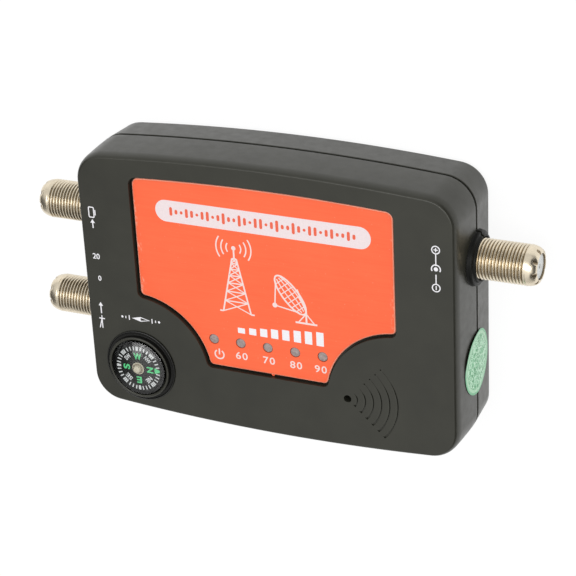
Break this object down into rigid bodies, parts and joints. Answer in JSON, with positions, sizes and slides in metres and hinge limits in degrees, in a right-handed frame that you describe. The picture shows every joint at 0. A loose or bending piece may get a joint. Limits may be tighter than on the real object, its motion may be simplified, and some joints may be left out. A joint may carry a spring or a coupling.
{
  "type": "aerial signal meter",
  "caption": "Pocket signal meter for lining up a TV aerial: black moulded case, recessed orange panel with lamps, button compass and threaded F sockets.",
  "frame": {"origin": "middle of the flat rear face, which is also the middle of the bottom of the bounding box", "axes": "+Z out of the printed face, +X to its right, through the single socket, +Y to its top edge"},
  "size_m": [0.127, 0.0698, 0.0262],
  "materials": {
    "black_plastic": "fine-grained moulded ABS",
    "gloss_black": "polished moulded plastic",
    "orange_plate": "printed plastic plate, satin, finely brushed",
    "clear_plastic": "clear moulded acrylic",
    "nickel": "satin nickel plating on turned metal",
    "brass": "turned",
    "steel": "plain",
    "white_plastic": "moulded insulator plastic",
    "lamp_grey": "diffused epoxy lamp, unlit",
    "board_green": "solder mask on glass-epoxy laminate",
    "dark_resin": "moulded resin",
    "ferrite": "bare ferrite core",
    "sticker_green": "coated paper, printed"
  },
  "bodies": {
    "body": {"front_cover": "black_plastic", "rear_cover": "black_plastic", "front_panel": "orange_plate", "compass_housing": "gloss_black", "compass_lens": "clear_plastic", "compass_pivot": "brass", "power_socket_barrel": "nickel", "power_socket_insulator": "white_plastic", "power_socket_contact": "brass", "tv_socket_barrel": "nickel", "tv_socket_insulator": "white_plastic", "tv_socket_contact": "brass", "aerial_socket_barrel": "nickel", "aerial_socket_insulator": "white_plastic", "aerial_socket_contact": "brass", "circuit_board": "board_green", "power_led": "lamp_grey", "level_led_1": "lamp_grey", "level_led_2": "lamp_grey", "level_led_3": "lamp_grey", "level_led_4": "lamp_grey", "sounder": "dark_resin", "attenuator_switch": "steel", "tuner_shield": "steel", "detector_chip": "dark_resin", "supply_capacitor": "dark_resin", "filter_capacitor": "dark_resin", "filter_coil": "ferrite", "supply_regulator": "dark_resin", "board_screw_1": "steel", "board_screw_2": "steel", "board_screw_3": "steel", "board_screw_4": "steel", "case_screw_1": "steel", "case_screw_2": "steel", "case_screw_3": "steel", "case_screw_4": "steel", "round_sticker": "sticker_green"},
    "compass_card": {"compass_dial": "gloss_black", "compass_jewel": "brass", "compass_magnet": "steel"},
    "switch_knob": {"attenuator_knob": "dark_resin"}
  },
  "joints": [
    {"name": "compass_turn", "type": "hinge", "parent": "body", "child": "compass_card", "pos_m": [-0.0341, -0.02165, 0.023], "axis": [0, 0, 1], "continuous": true},
    {"name": "attenuator_slide", "type": "slide", "parent": "body", "child": "switch_knob", "axis": [0, 1, 0], "range_m": [0, 0.0024]}
  ]
}
